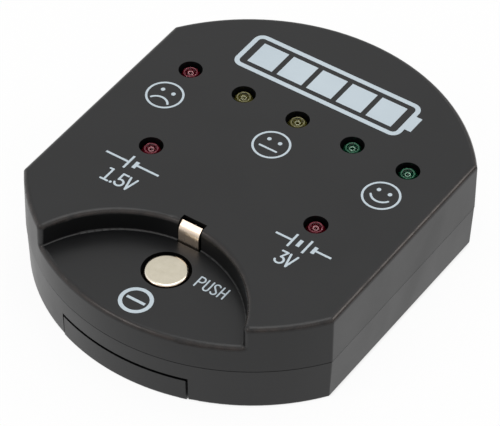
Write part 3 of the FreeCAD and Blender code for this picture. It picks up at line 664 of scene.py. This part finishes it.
# %% [markdown]
# ## The four case screws
# The finished screw is copied and each copy goes to its well. No two screws stop at the same angle when
# they are driven home, so each is turned by its own. Linked objects would save memory, but one piece with
# its place in its mesh is what the model uses for a group of like parts.

# %% Put the screws into their wells, as (x, y, turn in degrees)
WELLS = ((17.5, 23.0, 20), (-17.5, 23.0, 65), (22.6, -13.0, 40), (-22.6, -13.0, 5))
HEAD_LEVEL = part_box("case_screws")[0].z / MM

first = all_of(screws)
copies = [first] + [bmesh.ops.duplicate(screws, geom=first)["geom"] for _ in WELLS[1:]]
for copy, (x, y, degrees) in zip(copies, WELLS):
    driven = Matrix.Rotation(math.radians(degrees), 3, "Z")
    bmesh.ops.rotate(screws, verts=points_of(copy), cent=(0, 0, 0), matrix=driven)
    bmesh.ops.translate(screws, verts=points_of(copy), vec=(x * MM, y * MM, HEAD_LEVEL * MM))
cross_heads = make_piece("cross_head_screws", screws, "case", zinc)
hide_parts("case_screws")

# %% [markdown]
# ## Printed signs
# The signs on the case are screen printed: a film of pale ink, about a hundredth of a millimetre thick.
# They could be drawn as text and curves, but a font rarely has the narrow, even strokes of such prints.
# Instead a small pen draws each sign as ribbons: a ribbon's last edge is extruded to go straight on and
# spun to go round. Each ribbon lies a hair above the one before, so that no two faces share one plane
# where they cross.

# %% Helper: a ribbon that goes straight on or round
HAIR = 0.0002
DEGREES_PER_STEP, FEWEST_STEPS = 6, 6


class Ribbon:
    """Draws ribbons of one width, each a hair above the last; all lengths in mm, angles in degrees."""

    def __init__(self, level, width):
        self.shape = bmesh.new()
        self.level = level
        self.width = width

    def spot(self, x, y):
        return Vector((x * MM, y * MM, self.level * MM))

    def start(self, x, y, heading, width=None):
        """Sets down the first edge, across the heading."""
        self.level += HAIR
        half = (width or self.width) / 2
        self.x, self.y, self.heading = x, y, math.radians(heading)
        aside_x, aside_y = -math.sin(self.heading) * half, math.cos(self.heading) * half
        ends = [self.shape.verts.new(self.spot(x + side * aside_x, y + side * aside_y)) for side in (1, -1)]
        self.tip = ends + [self.shape.edges.new(ends)]
        return self

    def ahead(self, length):
        """Goes straight on."""
        grown = bmesh.ops.extrude_edge_only(self.shape, edges=edges_of(self.tip))["geom"]
        ends = points_of(grown)
        step = Vector((math.cos(self.heading), math.sin(self.heading), 0)) * length
        bmesh.ops.translate(self.shape, verts=ends, vec=step * MM)
        self.x += step.x
        self.y += step.y
        self.tip = ends + [edge for edge in edges_of(grown) if set(edge.verts) == set(ends)]
        return self

    def round(self, radius, degrees):
        """Turns left for a positive angle and right for a negative one."""
        aside = math.copysign(radius, degrees)
        centre_x = self.x - aside * math.sin(self.heading)
        centre_y = self.y + aside * math.cos(self.heading)
        steps = max(FEWEST_STEPS, int(abs(degrees) / DEGREES_PER_STEP))
        spun = bmesh.ops.spin(self.shape, geom=self.tip, cent=self.spot(centre_x, centre_y), axis=(0, 0, 1),
                              angle=math.radians(degrees), steps=steps)["geom_last"]
        self.heading += math.radians(degrees)
        self.x = centre_x + aside * math.sin(self.heading)
        self.y = centre_y - aside * math.cos(self.heading)
        self.tip = points_of(spun) + edges_of(spun)
        return self


print("a ribbon lies", HAIR, "mm above the last")

# %% [markdown]
# ## A pen with round ends
# Printed strokes end in half circles and join in round corners. A pen is a ribbon that sets a dot at each
# end and corner. When a sign is done, the flat ribbons are extruded to the thickness of the ink film. A
# Solidify modifier would do that too, but then each sign would carry a modifier of its own.

# %% Helper: the pen
DOT_SIDES = 24
FILM = 0.012


class Pen(Ribbon):
    """A ribbon with round ends, which becomes a printed piece."""

    def dot(self, x, y, wide, high):
        self.level += HAIR
        made = bmesh.ops.create_circle(self.shape, cap_ends=True, segments=DOT_SIDES, radius=MM / 2)["verts"]
        bmesh.ops.scale(self.shape, verts=made, vec=(wide, high, 1))
        bmesh.ops.translate(self.shape, verts=made, vec=self.spot(x, y))
        return self

    def stroke(self, *spots):
        """Straight runs from spot to spot with round ends and corners."""
        for (x, y), (far_x, far_y) in zip(spots, spots[1:]):
            self.start(x, y, math.degrees(math.atan2(far_y - y, far_x - x)))
            self.ahead(math.hypot(far_x - x, far_y - y))
        for x, y in spots:
            self.dot(x, y, self.width, self.width)
        return self

    def arch(self, x, y, radius, first, sweep):
        """Part of a circle about x, y that begins at the angle 'first', with round ends."""
        begin = math.radians(first)
        begin_x, begin_y = x + radius * math.cos(begin), y + radius * math.sin(begin)
        self.start(begin_x, begin_y, first + math.copysign(90, sweep))
        self.dot(self.x, self.y, self.width, self.width)
        self.round(radius, sweep)
        return self.dot(self.x, self.y, self.width, self.width)

    def print_as(self, name, finish):
        """Gives the flat ribbons the thickness of the ink and hands them over as one piece."""
        clean(self.shape)
        for face in self.shape.faces:
            if face.normal.z < 0:
                face.normal_flip()
        flat = self.shape.faces[:]
        grown = bmesh.ops.extrude_face_region(self.shape, geom=flat, use_keep_orig=True)["geom"]
        bmesh.ops.translate(self.shape, verts=points_of(grown), vec=(0, 0, FILM * MM))
        return make_piece(name, self.shape, "case", finish)


print("the ink is", FILM, "mm thick")

# %% [markdown]
# ## Ink
# The ink is a pale, slightly cool grey. Where the screen's threads lay it takes up a little less colour,
# so a fine noise varies it, and the same noise makes its skin uneven. A plain colour would look like a
# sticker.

# %% Finish: printing ink
INK_GRAIN = 0.22 * MM
SEAT_FLOOR = 12.8
SUNK = 0.003
TOP_LEVEL, SEAT_LEVEL = CASE_TOP - SUNK, SEAT_FLOOR - SUNK

ink = grained("pale_ink", dark=(0.45, 0.53, 0.585), pale=(0.54, 0.625, 0.68),
              size=INK_GRAIN, smooth=0.45, rough=0.6)
print("ink lies at", round(TOP_LEVEL, 3), "and", round(SEAT_LEVEL, 3), "mm")

# %% [markdown]
# ## Faces beside the row of lights
# Three plain faces, sad, level and glad, say what the lights mean. Each is a ring, two oval eyes and a
# mouth. Only the mouth differs, so one loop draws them: an arch that opens down or up, or a straight
# stroke.

# %% Print the faces, as (x, y, mood)
FACES = ((-19.9, 5.6, -1), (-0.15, 5.7, 0), (19.6, 5.85, 1))
FACE_LINE, RING = 0.35, 2.87
EYE_ASIDE, EYE_RISE, EYE_WIDTH, EYE_HEIGHT = 0.98, 0.93, 0.68, 0.72
MOUTH, MOUTH_DROP, MOUTH_BEND, MOUTH_HALF = 1.82, 1.0, 0.37, 58
LEVEL_HALF, LEVEL_DROP = 1.5, 0.95

faces = Pen(TOP_LEVEL, FACE_LINE)
for x, y, mood in FACES:
    faces.start(x + RING, y, 90).round(RING, 360)
    for side in (-1, 1):
        faces.dot(x + side * EYE_ASIDE, y + EYE_RISE, EYE_WIDTH, EYE_HEIGHT)
    if mood:
        mouth_y = y - MOUTH_DROP + mood * (MOUTH - MOUTH_BEND)
        faces.arch(x, mouth_y, MOUTH, -90 * mood - MOUTH_HALF, 2 * MOUTH_HALF)
    else:
        faces.stroke((x - LEVEL_HALF, y - LEVEL_DROP), (x + LEVEL_HALF, y - LEVEL_DROP))
faces.print_as("print_faces", ink)

# %% [markdown]
# ## Minus sign on the seat
# The seat carries the sign of the lower contact: a bar in a ring. The ring could be a curve with a bevel;
# the pen draws it as one full turn.

# %% Print the minus sign
MINUS_X, MINUS_Y = -0.05, -29.86
MINUS_RING, MINUS_LINE = 2.34, 0.62
BAR_LENGTH, BAR_WIDTH = 3.24, 0.5

minus = Pen(SEAT_LEVEL, MINUS_LINE)
minus.start(MINUS_X + MINUS_RING, MINUS_Y, 90).round(MINUS_RING, 360)
minus.start(MINUS_X - BAR_LENGTH / 2, MINUS_Y, 0, BAR_WIDTH).ahead(BAR_LENGTH)
minus.print_as("print_minus", ink)

# %% [markdown]
# ## Word on the seat
# A plain word beside the contact says to press. Its four letters are narrow, with even strokes and round
# ends. Each is made of a few strokes and arches between the foot line and the head line.

# %% Print the word
LETTER_LINE = 0.26
LOW, HIGH = -22.48, -20.36
STEM, BOWL_X, BOWL = 5.16, 5.58, 0.54
CUP_LEFT, CUP_RADIUS = 6.57, 0.425
HOOK_X, HOOK, TILT = 8.32, 0.44, 25
POST, FAR_POST = 9.26, 10.13

word = Pen(SEAT_LEVEL, LETTER_LINE)
word.stroke((BOWL_X, HIGH), (STEM, HIGH), (STEM, LOW)).arch(BOWL_X, HIGH - BOWL, BOWL, 90, -180)
word.stroke((BOWL_X, HIGH - 2 * BOWL), (STEM, HIGH - 2 * BOWL))

cup_foot, cup_right = LOW + CUP_RADIUS, CUP_LEFT + 2 * CUP_RADIUS
word.stroke((CUP_LEFT, HIGH), (CUP_LEFT, cup_foot))
word.arch(CUP_LEFT + CUP_RADIUS, cup_foot, CUP_RADIUS, 180, 180)
word.stroke((cup_right, cup_foot), (cup_right, HIGH))

aside, lift = HOOK * math.cos(math.radians(TILT)), HOOK * math.sin(math.radians(TILT))
word.arch(HOOK_X, HIGH - HOOK, HOOK, TILT, 180)
word.stroke((HOOK_X - aside, HIGH - HOOK - lift), (HOOK_X + aside, LOW + HOOK + lift))
word.arch(HOOK_X, LOW + HOOK, HOOK, TILT, -180)

word.stroke((POST, LOW), (POST, HIGH)).stroke((FAR_POST, LOW), (FAR_POST, HIGH))
word.stroke((POST, (LOW + HIGH) / 2), (FAR_POST, (LOW + HIGH) / 2))
word.print_as("print_push", ink)

# %% [markdown]
# ## Voltages
# Beside the two single lights stand the voltages of the two kinds of cell. Digits could come from a font,
# but the pen keeps their strokes like those of the other signs. Each digit is a function of the place
# where it stands.

# %% Helpers that draw digits on a foot line
CAP = 2.58
FLAG, FLAG_DROP, FOOT_HALF = 0.5, 0.05, 0.62
FIVE_LEFT, FIVE_RIGHT, FIVE_WAIST, FIVE_BOWL, FIVE_SWEEP = 0.42, 0.5, 1.24, 0.69, (125, -285)
THREE_LEFT, THREE_RIGHT, THREE_BOWL, THREE_SWEEP = 0.57, 0.4, 0.68, (100, -265)
KNEE_LEFT, KNEE_RISE = 0.15, 1.36
VEE_HALF = 0.61


def one(pen, x, y):
    pen.stroke((x - FLAG, y + CAP - FLAG_DROP), (x, y + CAP), (x, y))
    return pen.stroke((x - FOOT_HALF, y), (x + FOOT_HALF, y))


def five(pen, x, y):
    pen.stroke((x + FIVE_RIGHT, y + CAP), (x - FIVE_LEFT, y + CAP), (x - FIVE_LEFT, y + FIVE_WAIST))
    return pen.arch(x, y + FIVE_BOWL, FIVE_BOWL, *FIVE_SWEEP)


def three(pen, x, y):
    pen.stroke((x - THREE_LEFT, y + CAP), (x + THREE_RIGHT, y + CAP), (x - KNEE_LEFT, y + KNEE_RISE))
    return pen.arch(x, y + THREE_BOWL, THREE_BOWL, *THREE_SWEEP)


def vee(pen, x, y):
    """The letter for volts, with its foot at x, y."""
    return pen.stroke((x - VEE_HALF, y + CAP), (x, y), (x + VEE_HALF, y + CAP))


print("digits are", CAP, "mm high")

# %% Print the voltages
DIGIT_LINE = 0.34
POINT, POINT_RISE = 0.46, 0.08
LOW_FOOT, ONE_X, POINT_X, FIVE_X, LOW_VEE_X = -14.96, -16.62, -15.47, -14.3, -12.74
HIGH_FOOT, THREE_X, HIGH_VEE_X = -14.8, 14.62, 16.12

low_volts = Pen(TOP_LEVEL, DIGIT_LINE)
one(low_volts, ONE_X, LOW_FOOT).dot(POINT_X, LOW_FOOT + POINT_RISE, POINT, POINT)
five(low_volts, FIVE_X, LOW_FOOT)
vee(low_volts, LOW_VEE_X, LOW_FOOT).print_as("print_low_volts", ink)

high_volts = Pen(TOP_LEVEL, DIGIT_LINE)
three(high_volts, THREE_X, HIGH_FOOT)
vee(high_volts, HIGH_VEE_X, HIGH_FOOT).print_as("print_high_volts", ink)

# %% [markdown]
# ## Circuit symbols
# Above each voltage stands, as a plain drawing, the circuit symbol of one cell or of two in a row: two
# wires and, between them, a long thin and a short thick plate for each cell. One function draws both
# symbols.

# %% Print the symbols of one and of two cells
SYMBOL_LINE, THICK_LINE = 0.38, 0.62
LONG_PLATE, SHORT_PLATE = 3.0, 1.5
CELL_PITCH, PLATE_GAP, WIRE_GAP = 2.6, 1.25, 0.21


def cells(name, x, y, reach, count):
    """A symbol that begins at x, y and is 'reach' long."""
    pen = Pen(TOP_LEVEL, SYMBOL_LINE)
    plates = (count - 1) * CELL_PITCH + PLATE_GAP
    first_plate = x + (reach - plates) / 2
    pen.start(x, y, 0).ahead(first_plate - WIRE_GAP - x)
    for number in range(count):
        plate = first_plate + number * CELL_PITCH
        pen.start(plate, y - LONG_PLATE / 2, 90).ahead(LONG_PLATE)
        pen.start(plate + PLATE_GAP, y - SHORT_PLATE / 2, 90, THICK_LINE).ahead(SHORT_PLATE)
    far_wire = first_plate + plates + THICK_LINE / 2
    pen.start(far_wire, y, 0).ahead(x + reach - far_wire)
    pen.print_as(name, ink)


cells("print_one_cell", x=-19.9, y=-9.75, reach=9.7, count=1)
cells("print_two_cells", x=11.0, y=-9.6, reach=9.8, count=2)

# %% [markdown]
# ## Level sign
# Across the back of the top lies a broad print. A plain battery outline with filled steps has the right
# weight there and says what the tester is for. The pen goes once round for the outline, and each step is
# one broad ribbon.

# %% Print the level sign
SIGN_LINE = 0.8
LEFT, RIGHT, FRONT, REAR, CORNER = -15.6, 14.2, 18.2, 25.6, 1.2
POLE_OUT, POLE_WIDTH, POLE_LENGTH = 0.95, 1.1, 3.4
BARS, SIDE_MARGIN, END_MARGIN, BAR_GAP = 5, 1.2, 1.25, 0.9

sign = Pen(TOP_LEVEL, SIGN_LINE)
sign.start(LEFT + CORNER, FRONT, 0)
for run in (RIGHT - LEFT, REAR - FRONT) * 2:
    sign.ahead(run - 2 * CORNER).round(CORNER, 90)
sign.start(RIGHT + POLE_OUT, (FRONT + REAR - POLE_LENGTH) / 2, 90, POLE_WIDTH).ahead(POLE_LENGTH)
bar_pitch = (RIGHT - LEFT - 2 * SIDE_MARGIN) / BARS
for number in range(BARS):
    bar_x = LEFT + SIDE_MARGIN + (number + 0.5) * bar_pitch
    sign.start(bar_x, FRONT + END_MARGIN, 90, bar_pitch - BAR_GAP).ahead(REAR - FRONT - 2 * END_MARGIN)
sign.print_as("print_level", ink)

# %% [markdown]
# ## White paper
# The tester stands on white paper under soft light. A plain white floor would do, but a thin grey veil
# would remain on it. So whatever the camera sees directly, or mirrored, or through the lamps' domes, is
# mostly plain white, and the rest is real floor that still takes the soft shadow. Under the case it is
# all real floor, dark as it should be where the door leaves a gap.

# %% Finish: white paper
# The paper turns white over these distances from the middle line and from the middle of the case.
BESIDE = (26 * MM, 28 * MM)
BEYOND = (32 * MM, 34 * MM)
PAPER_WHITE = 0.94


def white_share(tree, share):
    """Is 'share' for rays from the camera, mirrored rays and those that pass through, and 0 for others."""
    path = add_node(tree, "ShaderNodeLightPath").outputs
    direct = work_out(tree, "MAXIMUM", path["Is Camera Ray"], path["Is Glossy Ray"])
    seen = work_out(tree, "MAXIMUM", direct, path["Is Transmission Ray"])
    return work_out(tree, "MULTIPLY", seen, share)


paper, paper_tree, paper_shader = start_finish(
    "white_paper", {"Base Color": (0.9, 0.9, 0.9, 1), "Roughness": 0.9, "Specular IOR Level": 0.1})
paper_place = add_node(paper_tree, "ShaderNodeTexCoord").outputs["Object"]
paper_x = add_node(paper_tree, "ShaderNodeSeparateXYZ", {"Vector": paper_place}).outputs["X"]
from_middle = add_node(paper_tree, "ShaderNodeVectorMath", {0: paper_place}, operation="LENGTH")
beside = span(paper_tree, work_out(paper_tree, "ABSOLUTE", paper_x), *BESIDE)
beyond = span(paper_tree, from_middle.outputs["Value"], *BEYOND)
outside = work_out(paper_tree, "MAXIMUM", beside, beyond)
white = work_out(paper_tree, "MULTIPLY", white_share(paper_tree, PAPER_WHITE), outside)
glow = add_node(paper_tree, "ShaderNodeEmission", {"Color": (1, 1, 1, 1), "Strength": 1.0})
whitened = add_node(paper_tree, "ShaderNodeMixShader",
                    {0: white, 1: paper_shader.outputs[0], 2: glow.outputs[0]})
print("finish", paper.name, "is", PAPER_WHITE, "plain white where it is seen")

# %% [markdown]
# ## The paper's back
# A floor hides the underside from a camera below it. Two floors could be swapped by hand; here the
# paper's back is clear instead. Its front lets light pass too where a ray starts right above it under the
# case, so that the underside is lit and can be looked at. The paper lies a hair below the case, so that
# no two faces share one plane.

# %% Make the floor
NEAR = 15 * MM
PAPER_REACH = 3.0
PAPER_LEVEL = -0.02 * MM

ray_length = add_node(paper_tree, "ShaderNodeLightPath").outputs["Ray Length"]
beneath = work_out(paper_tree, "SUBTRACT", work_out(paper_tree, "LESS_THAN", ray_length, NEAR), outside,
                   use_clamp=True)
backfacing = add_node(paper_tree, "ShaderNodeNewGeometry").outputs["Backfacing"]
clear = work_out(paper_tree, "MAXIMUM", backfacing, beneath)
nothing = add_node(paper_tree, "ShaderNodeBsdfTransparent")
sheet = add_node(paper_tree, "ShaderNodeMixShader", {0: clear, 1: whitened.outputs[0], 2: nothing.outputs[0]})
paper_tree.links.new(sheet.outputs[0], paper_tree.nodes["Material Output"].inputs["Surface"])

floor_shape = bmesh.new()
bmesh.ops.create_grid(floor_shape, x_segments=1, y_segments=1, size=PAPER_REACH,
                      matrix=Matrix.Translation((0, 0, PAPER_LEVEL)))
floor_mesh = bpy.data.meshes.new("floor")
floor_shape.to_mesh(floor_mesh)
floor_shape.free()
floor_mesh.materials.append(paper)
floor = bpy.data.objects.new("floor", floor_mesh)
bpy.context.scene.collection.objects.link(floor)
print("the floor is", 2 * PAPER_REACH, "m wide")

# %% [markdown]
# ## Sky
# The room itself gives most of the light: a pale sky all round, as in a light tent. It could be one plain
# white, but then the rounded edges would have nothing dark to mirror. So what is mirrored has a dim, warm
# band low over the floor, where the tent ends and the room shows, except on the left, where the window
# is. The band draws the thin dark line along those edges.

# %% Make the sky
SKY_LIGHT, SKY_SEEN = 0.62, 1.0
BAND = [(0.06, (0.1, 0.085, 0.08)), (0.2, (0.7, 0.63, 0.6)), (0.4, (1, 1, 1))]
FROM_THE_WINDOW = (-0.75, 0.1)

world = bpy.data.worlds.new("tent")
bpy.context.scene.world = world
world.use_nodes = True
sky_tree = world.node_tree
sky = sky_tree.nodes["Background"]
strength = span(sky_tree, white_share(sky_tree, 1.0), 0.0, 1.0, SKY_LIGHT, SKY_SEEN)
toward = add_node(sky_tree, "ShaderNodeTexCoord").outputs["Generated"]
toward_axes = add_node(sky_tree, "ShaderNodeSeparateXYZ", {"Vector": toward}).outputs
band = ramp_colours(sky_tree, work_out(sky_tree, "ABSOLUTE", toward_axes["Z"]), BAND)
glossy = add_node(sky_tree, "ShaderNodeLightPath").outputs["Is Glossy Ray"]
mirrored = work_out(sky_tree, "MULTIPLY", glossy, span(sky_tree, toward_axes["X"], *FROM_THE_WINDOW))
sky_tree.links.new(mix_colours(sky_tree, mirrored, (1, 1, 1, 1), band), sky.inputs["Color"])
sky_tree.links.new(strength, sky.inputs["Strength"])
print("the sky gives", SKY_LIGHT, "and is seen as", SKY_SEEN)

# %% [markdown]
# ## Softboxes
# One large softbox overhead and two smaller, warmer ones, left of the camera and behind on the right,
# make the plated rims and the rounded edges flash. Spot lamps would draw hard points there. Together with
# the sky they give about one, so that a colour looks as it is written.

# %% Put up the softboxes
def softbox(name, place, side, watts, colour):
    """An area lamp of this side in metres that faces the tester."""
    lamp = bpy.data.lights.new(name, "AREA")
    lamp.size = side
    lamp.energy = watts
    lamp.color = colour
    stand = bpy.data.objects.new(name, lamp)
    stand.location = place
    stand.rotation_mode = "QUATERNION"
    stand.rotation_quaternion = (-Vector(place)).to_track_quat("-Z", "Y")
    bpy.context.scene.collection.objects.link(stand)
    print(name, "gives", watts, "W")


softbox("overhead_box", place=(0.05, 0.05, 0.7), side=0.5, watts=1.6, colour=(1, 1, 1))
softbox("left_box", place=(-0.35, -0.6, 0.55), side=0.3, watts=0.9, colour=(1, 0.92, 0.88))
softbox("back_box", place=(0.5, 0.45, 0.42), side=0.3, watts=1.0, colour=(1, 0.9, 0.85))

# %% [markdown]
# ## Camera
# The picture was taken with a long lens, which keeps the outline almost free of perspective. The camera
# could be moved by eye until the picture fits. Here it is aimed at a point inside the case from a
# measured direction and distance, with the small roll that the picture has, and with no shift.

# %% Make the camera
AIM = Vector((1.751, -2.723, 10.0)) * MM
AZIMUTH, ELEVATION, ROLL = (math.radians(angle) for angle in (33.708, 44.202, 0.816))
DISTANCE = 538.95 * MM
SENSOR_MM, LENS_MM = 36.0, 255.87
NEAREST, FARTHEST = 0.01, 20.0

backward = Vector((math.sin(AZIMUTH) * math.cos(ELEVATION), -math.cos(AZIMUTH) * math.cos(ELEVATION),
                   math.sin(ELEVATION)))
lens = bpy.data.cameras.new("camera")
lens.sensor_width = SENSOR_MM
lens.lens = LENS_MM
lens.clip_start, lens.clip_end = NEAREST, FARTHEST
camera = bpy.data.objects.new("camera", lens)
camera.rotation_mode = "QUATERNION"
camera.location = AIM + backward * DISTANCE
camera.rotation_quaternion = (-backward).to_track_quat("-Z", "Y") @ Quaternion((0, 0, 1), ROLL)
bpy.context.scene.collection.objects.link(camera)
bpy.context.scene.camera = camera
bpy.context.scene.view_settings.view_transform = "Standard"
print("camera at", [round(part / MM, 1) for part in camera.location], "mm")
